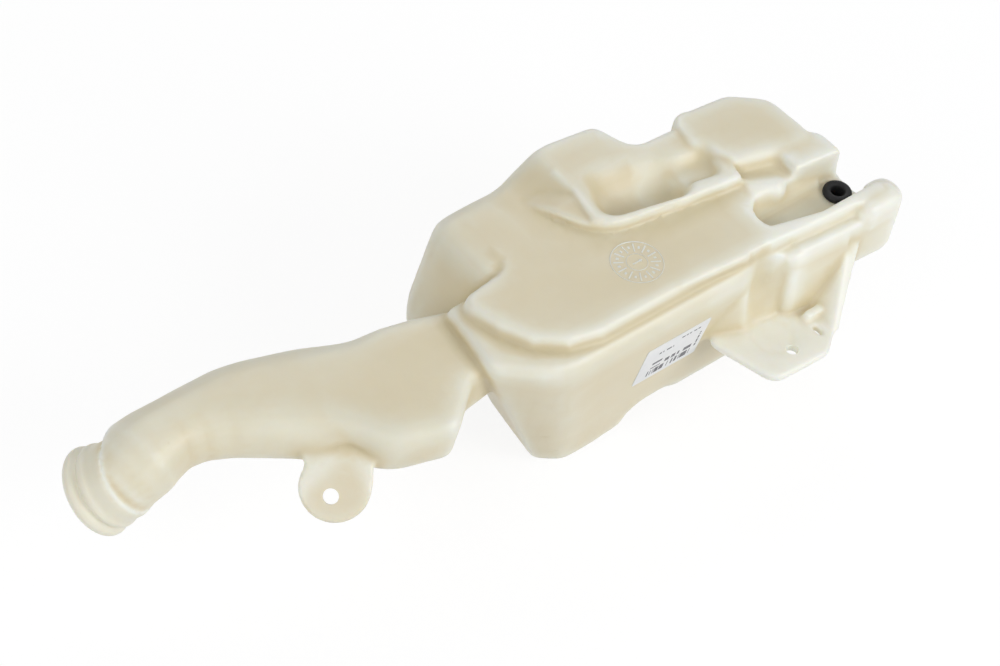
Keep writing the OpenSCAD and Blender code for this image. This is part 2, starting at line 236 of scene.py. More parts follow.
def corner_cut(profile, times):
    """A closed outline with its corners cut, which stays inside its convex corners."""
    p = np.asarray(profile, float)
    for _ in range(times):
        after = np.roll(p, -1, axis=0)
        p = np.stack([0.75 * p + 0.25 * after, 0.25 * p + 0.75 * after], axis=1).reshape(-1, 2)
    return p


def outward(obj):
    """Turns the faces of a closed mesh so that they face out."""
    co, tri = triangles_of(obj)
    volume = np.einsum("ij,ij->i", co[tri[:, 0]], np.cross(co[tri[:, 1]], co[tri[:, 2]])).sum()
    if volume < 0:
        obj.data.flip_normals()
    return obj


def boolean(obj, tool, operation):
    """Applies one boolean to the mesh and removes the tool."""
    mod = obj.modifiers.new("cut", "BOOLEAN")
    mod.operation = operation
    mod.solver = "MANIFOLD"
    mod.object = tool
    graph = bpy.context.evaluated_depsgraph_get()
    mesh = bpy.data.meshes.new_from_object(obj.evaluated_get(graph))
    obj.modifiers.clear()
    old = obj.data
    obj.data = mesh
    bpy.data.meshes.remove(old)
    bpy.data.objects.remove(tool)


def cleaned(obj, least):
    """Merges points nearer than least metres, and drops the slivers and crumbs that booleans leave."""
    work = bmesh.new()
    work.from_mesh(obj.data)
    bmesh.ops.remove_doubles(work, verts=work.verts, dist=least)
    bmesh.ops.dissolve_degenerate(work, edges=work.edges, dist=least)
    bmesh.ops.triangulate(work, faces=work.faces)
    work.verts.index_update()
    twins = {}
    for face in work.faces:
        twins.setdefault(frozenset(v.index for v in face.verts), []).append(face)
    folded = [face for group in twins.values() if len(group) > 1 for face in group]
    bmesh.ops.delete(work, geom=folded, context="FACES")
    tri = np.array([[v.index for v in face.verts] for face in work.faces])
    label = group_labels(len(work.verts), tri)[tri[:, 0]]
    main = np.bincount(label).argmax()
    stray = [face for face, group in zip(list(work.faces), label) if group != main]
    bmesh.ops.delete(work, geom=stray, context="FACES")
    bmesh.ops.holes_fill(work, edges=[e for e in work.edges if e.is_boundary], sides=0)
    bmesh.ops.delete(work, geom=[v for v in work.verts if not v.link_faces], context="VERTS")
    work.to_mesh(obj.data)
    work.free()


# Fields

def blurred(field, sigma):
    """Gaussian blur, with sigma in voxels."""
    reach = int(math.ceil(3 * sigma))
    x = np.arange(-reach, reach + 1)
    kernel = np.exp(-0.5 * (x / sigma) ** 2)
    kernel /= kernel.sum()
    for axis in range(3):
        wide = np.pad(field, [(reach, reach) if a == axis else (0, 0) for a in range(3)], mode="edge")
        total = np.zeros_like(field)
        for k, w in enumerate(kernel):
            part = [slice(None)] * 3
            part[axis] = slice(k, k + field.shape[axis])
            total += np.float32(w) * wide[tuple(part)]
        field = total
    return field


def sampled(values, first, points_mm):
    """Trilinear values of a field at points in model millimetres."""
    p = points_mm / VOXEL - first
    base = np.clip(np.floor(p).astype(int), 0, np.array(values.shape) - 2)
    f = np.clip(p - base, 0, 1)
    total = np.zeros(len(p))
    for corner in np.ndindex(2, 2, 2):
        w = np.ones(len(p))
        for k in range(3):
            w = w * (f[:, k] if corner[k] else 1 - f[:, k])
        at = base + corner
        total += w * values[at[:, 0], at[:, 1], at[:, 2]]
    return total


def zone(x, y, z, low, high, soft):
    """1 inside a box of design millimetres, fading to 0 over soft millimetres outside it."""
    dx = np.maximum(np.maximum(low[0] - x, x - high[0]), 0)
    dy = np.maximum(np.maximum(low[1] - y, y - high[1]), 0)
    dz = np.maximum(np.maximum(low[2] - z, z - high[2]), 0)
    t = np.clip(np.sqrt(dx * dx + dy * dy + dz * dz) / soft, 0, 1)
    return 1 - t * t * (3 - 2 * t)


# The CAD tank as an outer skin and a cavity, both closed

BORE_NEAR, BORE_PAST = 0.06 * MM, 3 * MM


def split_tank():
    """Takes the bores' walls out of the CAD tank and closes the two surfaces that are left."""
    co, tri = welded(*triangles_of(frame["nodes"]["tank"]))
    on_bore = np.zeros(len(tri), bool)
    for name, radius in BORE_R.items():
        m = MOUNTS[name]
        dist, along = off_axis(co, np.array(m["pos_m"]), unit(m["axis"]))
        near = abs(dist - radius * MM) < BORE_NEAR
        near &= abs(along) < m["dims"]["length_mm"] * MM + BORE_PAST
        on_bore |= near[tri].all(axis=1)
    kept = tri[~on_bore]
    label = group_labels(len(co), kept)
    names, sizes = np.unique(label[kept[:, 0]], return_counts=True)
    groups = [kept[label[kept[:, 0]] == n] for n in names[np.argsort(-sizes)][:2]]
    reach = [np.ptp(co[g].reshape(-1, 3), axis=0).sum() for g in groups]
    outer, inner = (groups[0], groups[1]) if reach[0] > reach[1] else (groups[1], groups[0])
    return capped(*compact(co, outer)), capped(*compact(co, inner))


(outer_co, outer_tri), (inner_co, inner_tri) = split_tank()

outer_mm = outer_co / MM
start = np.floor(outer_mm.min(axis=0) / VOXEL).astype(int) - BAND - 2
stop = np.ceil(outer_mm.max(axis=0) / VOXEL).astype(int) + BAND + 3
shape = tuple(stop - start)


def distance_field(co, tri):
    """Distance to a closed surface on the voxels, in mm, negative inside it."""
    grid = openvdb.FloatGrid.createLevelSetFromPolygons(
        (co / MM).astype(np.float32), triangles=tri.astype(np.uint32),
        transform=openvdb.createLinearTransform(voxelSize=VOXEL), halfWidth=BAND)
    values = np.empty(shape, np.float32)
    grid.copyToArray(values, ijk=tuple(int(i) for i in start))
    return values


def surface_of(values, pitch, first, flatten):
    """Points in mm and faces of the surface where the field is zero, larger where it is flat."""
    grid = openvdb.FloatGrid(background=BAND * VOXEL)
    grid.transform = openvdb.createLinearTransform(voxelSize=pitch)
    grid.copyFromArray(np.ascontiguousarray(values, np.float32), ijk=tuple(int(i) for i in first))
    grid.gridClass = openvdb.GridClass.LEVEL_SET
    points, triangles, quads = grid.convertToPolygons(isovalue=0.0, adaptivity=flatten)
    return points, [*triangles.tolist(), *quads.tolist()]


cad_field = distance_field(outer_co, outer_tri)

# Voxel places in design millimetres
axes = [(np.arange(shape[k]) + start[k]) * VOXEL + ORIGIN[k] for k in range(3)]
gx, gy, gz = np.meshgrid(*[a.astype(np.float32) for a in axes], indexing="ij", sparse=True)


# Boxes of design mm where thin or sharp forms keep their edges, the fade round each and its share:
# foot, fin, tab, bar with trough, the deck's front edge, and the upper terrace with its pocket
CRISP_ZONES = (
    ((86, -50, 58), (160, -15, 72), 6, 1.0),
    ((140, -46, 58), (186, -18, 96), 6, 1.0),
    ((-152, -12, 58), (-104, 28, 84), 8, 1.0),
    ((126, -8, 98), (214, 27, 120), 8, 0.6),
    ((-30, -5, 109), (126, 4, 118), 4, 0.9),
    ((40, 34, 100), (138, 84, 124), 5, 0.9),
)


def strongest(zones, x, y, z):
    """The highest share that any of the zones gives to each place."""
    weight = np.float32(0)
    for low, high, fade, share in zones:
        weight = np.maximum(weight, share * zone(x, y, z, low, high, fade))
    return weight


def smooth_low(a, b, k):
    """The lower of two fields, blended over k mm."""
    h = np.clip(0.5 + 0.5 * (b - a) / k, 0, 1)
    return b + (a - b) * h - k * h * (1 - h)


def smooth_high(a, b, k):
    """The higher of two fields, blended over k mm."""
    return -smooth_low(-a, -b, k)


def turned(x, y, at, angle):
    """Plan coordinates along and across a line that starts at a point."""
    c, s = math.cos(math.radians(angle)), math.sin(math.radians(angle))
    return (x - at[0]) * c + (y - at[1]) * s, (y - at[1]) * c - (x - at[0]) * s


def leaning(values, lean):
    """A field that changes by 1 one way and by lean the other, as a distance."""
    return values / math.hypot(1, lean)


def beyond(a, middle, half):
    """How far a place lies outside a span."""
    return abs(a - middle) - half


def slab(u, v, z, low, high, r):
    """A box with rounded edges."""
    q = [beyond(a, (near + far) / 2, (far - near) / 2) + r for a, near, far in zip((u, v, z), low, high)]
    out = np.sqrt(sum(np.maximum(k, 0) ** 2 for k in q))
    return out + np.minimum(np.maximum(np.maximum(q[0], q[1]), q[2]), 0) - r


# The top pocket: its front left corner on the upper terrace and its turn in plan. In its own axes,
# where each wall meets the terrace's top and how it leans, for the deep part and the shallow end
POCKET_AT, POCKET_TURN = (64.0, 51.0), -11.4
POCKET_DEPTH, SHALLOW_DEPTH = 16.0, 7.0
POCKET_FRONT, POCKET_FRONT_LEAN = 3.2, 0.15
POCKET_BACK, POCKET_BACK_LEAN = 26.0, 1.1
POCKET_LEFT, POCKET_LEFT_LEAN = 5.0, 0.8
POCKET_RIGHT, POCKET_RIGHT_LEAN = 50.0, 0.3
POCKET_SIDE_ROUND, POCKET_END_ROUND, POCKET_FLOOR_ROUND = 5.0, 12.0, 6.0
SHALLOW_FRONT, SHALLOW_FRONT_LEAN = 3.0, 0.3
SHALLOW_BACK, SHALLOW_BACK_LEAN = 21.0, 0.6
SHALLOW_LEFT = 40.0
SHALLOW_RIGHT, SHALLOW_RIGHT_LEAN = 67.0, 0.4
SHALLOW_ROUND, SHALLOW_END_ROUND = 4.0, 6.0
POCKET_JOIN_ROUND = 3.0


def pocket_form(x, y, z):
    """The top pocket: steep in front, a long slope at the back, and a shallow right end."""
    u, v = turned(x, y, POCKET_AT, POCKET_TURN)
    down = UPPER_H - z
    front = POCKET_FRONT_LEAN * down - v - POCKET_FRONT
    back = leaning(v - POCKET_BACK + POCKET_BACK_LEAN * down, POCKET_BACK_LEAN)
    left = POCKET_LEFT_LEAN * down - POCKET_LEFT - u
    right = u - POCKET_RIGHT + POCKET_RIGHT_LEAN * down
    deep = smooth_high(front, back, POCKET_SIDE_ROUND)
    deep = smooth_high(deep, np.maximum(left, right), POCKET_END_ROUND)
    deep = smooth_high(deep, UPPER_H - POCKET_DEPTH - z, POCKET_FLOOR_ROUND)
    front = SHALLOW_FRONT + SHALLOW_FRONT_LEAN * down - v
    back = leaning(v - SHALLOW_BACK + SHALLOW_BACK_LEAN * down, SHALLOW_BACK_LEAN)
    right = u - SHALLOW_RIGHT + SHALLOW_RIGHT_LEAN * down
    shallow = smooth_high(front, back, SHALLOW_ROUND)
    shallow = smooth_high(shallow, np.maximum(SHALLOW_LEFT - u, right), SHALLOW_END_ROUND)
    shallow = smooth_high(shallow, UPPER_H - SHALLOW_DEPTH - z, SHALLOW_ROUND)
    return smooth_low(deep, shallow, POCKET_JOIN_ROUND)


# The deck's front edge: a point on it, and how it bears forward to the right
DECK_EDGE_AT, DECK_EDGE_SLOPE = (121.0, -4.3), 0.069


def behind_edge(x, y):
    """Distance behind the deck's front edge."""
    return y - DECK_EDGE_AT[1] + DECK_EDGE_SLOPE * (x - DECK_EDGE_AT[0])


# The strip beside the trough: a point on its back edge, its turn in plan, its box along that line,
# and the line that its back keeps to at the right. Then the box of the bar's end
BAR_AT, BAR_TURN = (130.0, 6.5), -12.9
STRIP_LOW, STRIP_HIGH, STRIP_ROUND = (-60.0, -40.0, DECK_H - 15), (70.0, 0.0, DECK_H), 3.0
STRIP_BACK_Y = -0.5
BAR_END_LOW, BAR_END_HIGH, BAR_END_ROUND = (180.0, -16.0, DECK_H - 20), (206.0, 0.0, DECK_H - 1), 6.0


def bar_form(x, y, z):
    """The strip of deck that runs on past the trough as the bar's top, and the bar's end."""
    u, v = turned(x, y, BAR_AT, BAR_TURN)
    strip = slab(u, np.minimum(v, y - STRIP_BACK_Y), z, STRIP_LOW, STRIP_HIGH, STRIP_ROUND)
    strip = smooth_high(strip, -behind_edge(x, y), STRIP_ROUND)
    return np.minimum(strip, slab(x, y, z, BAR_END_LOW, BAR_END_HIGH, BAR_END_ROUND))


# The crest at the upper terrace's left: a point on it and the way that it faces in plan
CREST_AT, CREST_FACING = (43.0, 68.0), (0.92, 0.39)
# What closes the CAD pocket, along the pocket's own axes
PLUG_LOW, PLUG_HIGH, PLUG_ROUND = (-10.0, -4.0, DECK_H - 18), (74.0, 31.0, UPPER_H), 1.0
# The flank: where its top starts to fall, how fast, and its ends
FLANK_FALL_X, FLANK_FALL_LEFT = 64.0, 0.2
FLANK_FALL_Y, FLANK_FALL_BACK = 68.0, 0.25
FLANK_RIGHT, FLANK_FRONT, FLANK_BACK, FLANK_LOW = 70.0, 43.0, 84.0, DECK_H - 8
FLANK_CORNER_ROUND, FLANK_EDGE_ROUND, FLANK_END_ROUND = 8.0, 1.5, 1.0
# The terrace's front along the pocket's axes: how far ahead, its turn and lean, and its reach
TERRACE_AHEAD, TERRACE_TURN, TERRACE_LEAN = 8.0, 0.06, 0.1
TERRACE_MIDDLE, TERRACE_HALF, TERRACE_REACH = 22.0, 53.0, 16.0
TERRACE_CORNER_ROUND = 16.0


def crest_side(x, y):
    """Distance in plan out past the crest at the upper terrace's left."""
    return CREST_FACING[0] * (CREST_AT[0] - x) + CREST_FACING[1] * (CREST_AT[1] - y)


def terrace_form(x, y, z):
    """The upper terrace, closed where the pocket goes, with a flank that falls to a low crest."""
    u, v = turned(x, y, POCKET_AT, POCKET_TURN)
    plug = slab(u, v, z, PLUG_LOW, PLUG_HIGH, PLUG_ROUND)
    fall = FLANK_FALL_LEFT * np.maximum(FLANK_FALL_X - x, 0)
    fall = fall + FLANK_FALL_BACK * np.maximum(y - FLANK_FALL_Y, 0)
    ends = np.maximum(np.maximum(x - FLANK_RIGHT, y - FLANK_BACK), FLANK_LOW - z)
    sides = smooth_high(crest_side(x, y), FLANK_FRONT - y, FLANK_CORNER_ROUND)
    top = smooth_high(z - UPPER_H + fall, ends, FLANK_END_ROUND)
    return np.minimum(plug, smooth_high(sides, top, FLANK_EDGE_ROUND))


def terrace_clear(x, y, z):
    """What the upright front of the upper terrace leaves clear above the deck."""
    u, v = turned(x, y, POCKET_AT, POCKET_TURN)
    ahead = v + TERRACE_AHEAD - TERRACE_TURN * u + TERRACE_LEAN * (UPPER_H - z)
    kept = smooth_high(-ahead, crest_side(x, y), TERRACE_CORNER_ROUND)
    ends = np.maximum(beyond(u, TERRACE_MIDDLE, TERRACE_HALF), -TERRACE_REACH - v)
    return np.maximum(np.maximum(-kept, DECK_H - z), ends)


# Middle and half of the front wall's cleared part
WALL_CLEAR_X, WALL_CLEAR_Z = (64.0, 52.0), (87.0, 11.0)


def wall_clear(x, y, z):
    """What the front wall leaves clear below its shoulder."""
    ahead = y - FRONT_Y - math.tan(math.radians(FRONT_LEAN)) * (LEDGE_H - z)
    return np.maximum(ahead, np.maximum(beyond(z, *WALL_CLEAR_Z), beyond(x, *WALL_CLEAR_X)))


# The slope at the trough's back: where it starts, how steep, and the middle and half of its spans
SLOPE_Y, SLOPE_RISE, SLOPE_BACK = 16.5, 1.6, 32.0
SLOPE_X, SLOPE_Z = (153.0, 26.0), (106.0, 9.0)
# The ridge round the trough's inner end: its start in plan, its run, its height and its radius
RIDGE_AT, RIDGE_RUN, RIDGE_Z, RIDGE_R = (134.0, 33.0), (17.0, -9.0), 112.5, 5.5
RIDGE_BLEND = 4.0


def trough_form(x, y, z):
    """The slope at the trough's back and the low ridge round its inner end."""
    slope = leaning(z - TROUGH_FLOOR - SLOPE_RISE * (y - SLOPE_Y), SLOPE_RISE)
    ends = np.maximum(beyond(x, *SLOPE_X), beyond(z, *SLOPE_Z))
    slope = np.maximum(np.maximum(slope, y - SLOPE_BACK), ends)
    dx, dy = x - RIDGE_AT[0], y - RIDGE_AT[1]
    length = RIDGE_RUN[0] ** 2 + RIDGE_RUN[1] ** 2
    along = np.clip((dx * RIDGE_RUN[0] + dy * RIDGE_RUN[1]) / length, 0, 1)
    off = (dx - RIDGE_RUN[0] * along) ** 2 + (dy - RIDGE_RUN[1] * along) ** 2
    return slope, np.sqrt(off + (z - RIDGE_Z) ** 2) - RIDGE_R


# The flare to the foot: how far out it ends, its steepness, where it fades and how fast, and its spans
FLARE_OUT, FLARE_RISE = 12.6, 8.0
FLARE_FADE_X, FLARE_FADE = 110.0, 0.42
FLARE_X, FLARE_Z = (113.0, 25.0), (84.0, 21.0)
# The knuckle: its lean, its turn from one x on, and its box
KNUCKLE_LEAN, KNUCKLE_TURN, KNUCKLE_X = 0.12, 0.05, 133.0
KNUCKLE_LOW, KNUCKLE_HIGH, KNUCKLE_ROUND = (131.0, -12.6, FOOT_H - 4), (174.0, 2.0, LEDGE_H - 0.5), 7.0


def front_form(x, y, z):
    """The flare of the front wall down to the foot, which fades out to the left, and the knuckle."""
    faded = FLARE_FADE * np.maximum(FLARE_FADE_X - x, 0)
    face = leaning(z - FOOT_H - FLARE_RISE * (y + FLARE_OUT - faded), FLARE_RISE)
    flare = np.maximum(face, np.maximum(beyond(x, *FLARE_X), np.maximum(y, beyond(z, *FLARE_Z))))
    leant = y + KNUCKLE_LEAN * (LEDGE_H - z) + KNUCKLE_TURN * (x - KNUCKLE_X)
    return np.minimum(flare, slab(x, leant, z, KNUCKLE_LOW, KNUCKLE_HIGH, KNUCKLE_ROUND))


# Above the knuckle: the middle and half of the cleared span, and its lowest level
CLEAR_X, CLEAR_LOW = (145.0, 33.0), LEDGE_H - 1
# The groove: its axis at the ledge's height, its radius, its lean, and the fade at its lower end
GROOVE_AT, GROOVE_R, GROOVE_LEAN, GROOVE_TOP = (119.5, -13.5), 10.5, 0.06, DECK_H - 3
GROOVE_FADE_Z, GROOVE_FADE = 93.0, 0.010


def front_clear(x, y, z):
    """What stays clear in front of the deck's edge above the knuckle, and in the groove left of it."""
    above = np.maximum(behind_edge(x, y), np.maximum(CLEAR_LOW - z, beyond(x, *CLEAR_X)))
    out = GROOVE_LEAN * (LEDGE_H - z) + GROOVE_FADE * np.maximum(GROOVE_FADE_Z - z, 0) ** 2
    groove = np.sqrt((x - GROOVE_AT[0]) ** 2 + (y - GROOVE_AT[1] + out) ** 2) - GROOVE_R
    groove = np.maximum(groove, np.maximum(z - GROOVE_TOP, FOOT_H - z))
    return np.minimum(above, groove)


# Each form that is cut away, and the mm over which its edge is rounded
CUTS = ((front_clear, 4.0), (terrace_clear, 1.5), (pocket_form, 3.0))

form = np.maximum(cad_field, -wall_clear(gx, gy, gz))
for added in (bar_form, terrace_form, front_form):
    form = np.minimum(form, added(gx, gy, gz))
slope, ridge = trough_form(gx, gy, gz)
form = smooth_low(np.minimum(form, slope), ridge, RIDGE_BLEND)
for cleared, rounding in CUTS:
    form = smooth_high(form, -cleared(gx, gy, gz), rounding)
form = form.astype(np.float32)
crisp = strongest(CRISP_ZONES, gx, gy, gz)
field = blurred(form, SOFT_BLUR / VOXEL) * (1 - crisp) + blurred(form, CRISP_BLUR / VOXEL) * crisp
for low, high, fade, blur in BROAD_ROUNDS:
    share = zone(gx, gy, gz, low, high, fade) * (1 - crisp)
    field = field * (1 - share) + blurred(form, blur / VOXEL) * share
field = field.astype(np.float32)

# The collar is turned apart, so the skin keeps only a plain core there
mouth = MOUNTS["filler_mouth"]
mouth_axis = unit(mouth["axis"])
mouth_l = mouth["dims"]["length_mm"]
mouth_r = mouth["dims"]["r_mm"]
COLLAR_L = mouth_l + 3.0
MOUTH_REACH = 30.0
CORE_R, CORE_SHORT, CORE_START = mouth_r + 1.3, 1.0, 0.8
mouth_end = np.array(mouth["pos_m"]) / MM + mouth_axis * mouth_l / 2
rel = [a - ORIGIN[k] - mouth_end[k] for k, a in enumerate((gx, gy, gz))]
along = rel[0] * mouth_axis[0] + rel[1] * mouth_axis[1] + rel[2] * mouth_axis[2]
across = np.sqrt(np.maximum(rel[0] ** 2 + rel[1] ** 2 + rel[2] ** 2 - along ** 2, 0))
near_mouth = (along > CORE_START - COLLAR_L) & (across < MOUTH_REACH)
core = np.maximum(across - CORE_R, along + CORE_SHORT)
field = np.where(near_mouth, np.maximum(field, core), field)

# The cavity is meshed on every second voxel
skin_points, skin_faces = surface_of(field, VOXEL, start, SKIN_FLATTEN)
cavity_field = np.maximum(distance_field(inner_co, inner_tri), field + LEAST_WALL)
cavity_start = start + start % 2
step = tuple(slice(int(a - b), None, 2) for a, b in zip(cavity_start, start))
cavity_points, cavity_faces = surface_of(cavity_field[step], 2 * VOXEL, cavity_start // 2, CAVITY_FLATTEN)

# Tank

tank = outward(new_object("tank_shell", skin_points * MM, skin_faces))

COLLAR_R = mouth_r + WALL
BEAD_H = 2.6
BEAD_W = 7.0
# The collar's section: plain pipe, a low ring and the bead at the lip
collar_profile = corner_cut([
    [COLLAR_R, -COLLAR_L],
    [COLLAR_R, -BEAD_W - 6],
    [COLLAR_R + BEAD_H * 0.5, -BEAD_W - 4.5],
    [COLLAR_R + BEAD_H * 0.5, -BEAD_W - 2.5],
    [COLLAR_R, -BEAD_W - 1],
    [COLLAR_R, -BEAD_W],
    [COLLAR_R + BEAD_H, -BEAD_W + 2],
    [COLLAR_R + BEAD_H, -2.5],
    [COLLAR_R + BEAD_H - 1.5, -0.6],
    [COLLAR_R + BEAD_H - 2.5, 0],
    [mouth_r - 1, 0],
    [mouth_r - 2, -COLLAR_L],
], 2)
collar = lathe("collar", collar_profile, mouth_end * MM, mouth_axis, COLLAR_SIDES)
boolean(tank, outward(collar), "UNION")
boolean(tank, outward(new_object("cavity", cavity_points * MM, cavity_faces)), "DIFFERENCE")
boolean(tank, outward(rod("mouth_bore", mouth_end * MM, mouth_axis, mouth_r, -mouth_l, 3)), "DIFFERENCE")
# Where each hole's cutter starts and ends along its axis, in mm
for hole, low, high in (("foot_hole", -8, 3), ("tab_hole", -8, 8), ("pump_bore", -14, 2)):
    m = MOUNTS[hole]
    drill = rod(hole + "_cut", m["pos_m"], m["axis"], BORE_R[hole], low, high, HOLE_SIDES)
    boolean(tank, outward(drill), "DIFFERENCE")
cleaned(tank, SLIVER * MM)
shade(tank, TANK_SHARP)


# Tone of the plastic: painted highlight on edges, painted light on thin webs, and painted shade in creases
# and hollows

# Boxes of design mm painted lighter, the fade round each and its share: foot with fin and knuckle, and bar
# with trough, as painted light through thin webs; the trough's floor and the pocket's floor, as painted
# light against their shade
PAINTED_LIGHT_ZONES = (
    ((86, -50, 50), (215, -12, 118), 10, 1.0),
    ((128, -10, 98), (215, 30, 124), 10, 1.0),
    ((134, 0, 98), (200, 24, 106), 4, 1.5),
    ((60, 36, 100), (128, 78, 112), 5, 1.1),
)
# The tab, which is deeper, and the collar, which is lighter back to where its fade ends
TAB_ZONE, TAB_SHARE = ((-152, -12, 58), (-112, 20, 84), 8), 1.2
COLLAR_SHARE, COLLAR_FADE, COLLAR_BACK = 0.5, 8.0, -34.0
# Blurs in mm that tell edges from hollows, how much of each counts, and its limits, for a painted
# highlight on edges and painted shade in creases and hollows
FINE_BLUR, FINE_SHARE, FINE_LIMITS = 1.9, 0.7, (-0.25, 0.4)
BROAD_BLUR, BROAD_SHARE, BROAD_LIMITS = 6.0, 0.1, (-1.2, 1.2)
MIDDLE_TONE, PAINTED_LIGHT_SHARE = 0.5, 0.2


def set_tone(obj, values):
    """Keeps a tone from 0 to 1 at each point of the mesh."""
    layer = obj.data.attributes.new("tone", "FLOAT", "POINT")
    layer.data.foreach_set("value", np.clip(values, 0, 1).astype(np.float32))


def shell_tone(obj):
    """The tone at each point of the tank, with painted highlight on edges and painted shade in creases and
    hollows.
    """
    p = triangles_of(obj)[0] / MM
    # Curvature of the skin at two scales, which paints highlight on convex edges and shade in creases and
    # hollows
    fine_painted_light_and_shade = sampled(blurred(field, FINE_BLUR / VOXEL) - field, start, p)
    broad_painted_light_and_shade = sampled(blurred(cad_field, BROAD_BLUR / VOXEL) - cad_field, start, p)
    place = (p + ORIGIN).T
    r, a = off_axis(p, mouth_end, mouth_axis)
    collar = np.clip(1 - np.maximum(-a - COLLAR_L, 0) / COLLAR_FADE, 0, 1)
    collar = COLLAR_SHARE * collar * (r < MOUTH_REACH) * (a > COLLAR_BACK)
    # Painted light: thin webs and the collar as light through them, the trough's and pocket's floors
    # against their shade
    light = np.maximum(strongest(PAINTED_LIGHT_ZONES, *place), collar)
    light = light - TAB_SHARE * zone(*place, *TAB_ZONE)
    # Painted highlight on convex edges and painted shade in creases and hollows
    edges = FINE_SHARE * np.clip(fine_painted_light_and_shade, *FINE_LIMITS) + BROAD_SHARE * np.clip(broad_painted_light_and_shade, *BROAD_LIMITS)
    return MIDDLE_TONE + edges + PAINTED_LIGHT_SHARE * light


set_tone(tank, shell_tone(tank))


# Date dial: a low moulded ring, sectors and pointer on the deck, in mm

DIAL_AT = to_model((59.3, 22.7, DECK_H))
DIAL_R, DIAL_SKIRT, DIAL_HUB = 13.4, 0.2, 0.15
DIAL_SUNK, DIAL_RISE, DIAL_DEPTH = 0.5, 0.22, 1.2
DIAL_RINGS, DIAL_SPOKES, DIAL_SECTORS = 60, 240, 12
# The dial's tone: near white, a painted highlight on its raised marks
DIAL_PAINTED_HIGHLIGHT = 0.95
# Inner and outer radius of the ring marks, the lines and the dots, and half widths
RIM, HUB_RING, LINES, DOTS = (DIAL_R - 0.8, DIAL_R), (4.9, 5.6), (6.4, 12.0), (8.6, 10.6)
LINE_HALF, DOT_HALF, STEM_HALF = 0.55, 0.75, 0.5
# The pointer: ends of its stem and head, its tip, and how its head widens
STEM, HEAD, TIP, HEAD_SPREAD = (-3.0, 3.2), (1.6, 3.6), 3.4, 0.8
# Width of the slope at the marks' edges
FINE_EDGE, EDGE, WIDE_EDGE = 0.2, 0.25, 0.3


def dial_height(r, a):
    """Rise of the dial's marks over the deck, in mm, below the deck between them."""

    def under(x, limit, soft):
        return np.clip((limit - x) / soft, 0, 1)

    def band(x, span, soft):
        return np.clip((x - span[0]) / soft, 0, 1) * under(x, span[1], soft)

    sector = 2 * math.pi / DIAL_SECTORS
    off_line = abs((a + sector / 2) % sector - sector / 2) * r
    off_dot = abs(a % sector - sector / 2) * r
    x, y = r * np.cos(a), r * np.sin(a)
    mark = np.maximum.reduce([
        band(r, RIM, EDGE),
        band(r, HUB_RING, EDGE),
        under(off_line, LINE_HALF, EDGE) * band(r, LINES, WIDE_EDGE),
        under(off_dot, DOT_HALF, EDGE) * band(r, DOTS, WIDE_EDGE),
        under(abs(y), STEM_HALF, FINE_EDGE) * band(x, STEM, WIDE_EDGE),
        under(abs(y) - HEAD_SPREAD * (TIP - x), 0, WIDE_EDGE) * band(x, HEAD, FINE_EDGE),
    ])
    return -DIAL_SUNK + (DIAL_SUNK + DIAL_RISE) * mark


def make_dial():
    """A disc with the marks on top, sunk in the deck."""
    rings, spokes = DIAL_RINGS, DIAL_SPOKES
    radii = np.linspace(DIAL_HUB, DIAL_R + DIAL_SKIRT, rings)
    angles = np.arange(spokes) * 2 * math.pi / spokes
    r, a = np.meshgrid(radii, angles, indexing="ij")
    h = dial_height(r, a)
    top = np.stack([r * np.cos(a), r * np.sin(a), h], axis=-1).reshape(-1, 3)
    depth = np.full(spokes, -DIAL_DEPTH)
    low = np.stack([radii[-1] * np.cos(angles), radii[-1] * np.sin(angles), depth], axis=-1)
    points = np.concatenate([top, low, [[0, 0, h[0].mean()]], [[0, 0, -DIAL_DEPTH]]])
    faces = []
    for i in range(rings - 1):
        here, after = i * spokes, (i + 1) * spokes
        for j in range(spokes):
            k = (j + 1) % spokes
            faces.append((here + j, after + j, after + k, here + k))
    edge, base = (rings - 1) * spokes, rings * spokes
    hub = base + spokes
    foot = hub + 1
    for j in range(spokes):
        k = (j + 1) % spokes
        faces.append((edge + j, base + j, base + k, edge + k))
        faces.append((hub, j, k))
        faces.append((foot, base + k, base + j))
    return outward(new_object("date_dial", DIAL_AT + points * MM, faces, DIAL_SHARP))


dial = make_dial()
# The dial is painted near white, a painted highlight on the raised marks
set_tone(dial, np.full(len(dial.data.vertices), DIAL_PAINTED_HIGHLIGHT))

# Grommet

pump = MOUNTS["pump_bore"]
grommet_low, grommet_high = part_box("pump_grommet")
FLANGE_T = 3.0
floor_at = np.array((pump["pos_m"][0], pump["pos_m"][1], grommet_high.z - FLANGE_T * MM))
bore_r = pump["dims"]["r_mm"]
flange_r = (grommet_high.x - grommet_low.x) / 2 / MM
# The grommet's section: a lip under the trough's floor, a neck in the hole and the flange
grommet_profile = corner_cut([
    [bore_r, -WALL - 3],
    [GROMMET_HOLE_R - 0.3, -WALL - 3],
    [GROMMET_HOLE_R + 0.8, -WALL - 0.8],
    [GROMMET_HOLE_R + 0.8, -WALL],
    [GROMMET_HOLE_R, -WALL],
    [GROMMET_HOLE_R, 0],
    [flange_r, 0],
    [flange_r, FLANGE_T - 1],
    [flange_r - 1, FLANGE_T],
    [bore_r + 1.2, FLANGE_T],
    [bore_r, FLANGE_T - 1.2],
], 2)
grommet = outward(lathe("pump_seal", grommet_profile, floor_at, (0, 0, 1), GROMMET_SIDES))
shade(grommet, GROMMET_SHARP)

# Label: a paper sheet with rounded corners, in its own axes on the front wall

LABEL_L, LABEL_H, LABEL_T = 41.0, 32.0, 0.3
LABEL_X, LABEL_DOWN = 68.0, 23.0
LABEL_ROUND, LABEL_STEPS = 1.2, 6
# The sheet's edge: its upright share of the thickness, and how far the face is set in
LABEL_EDGE, LABEL_INSET = 0.8, 0.25


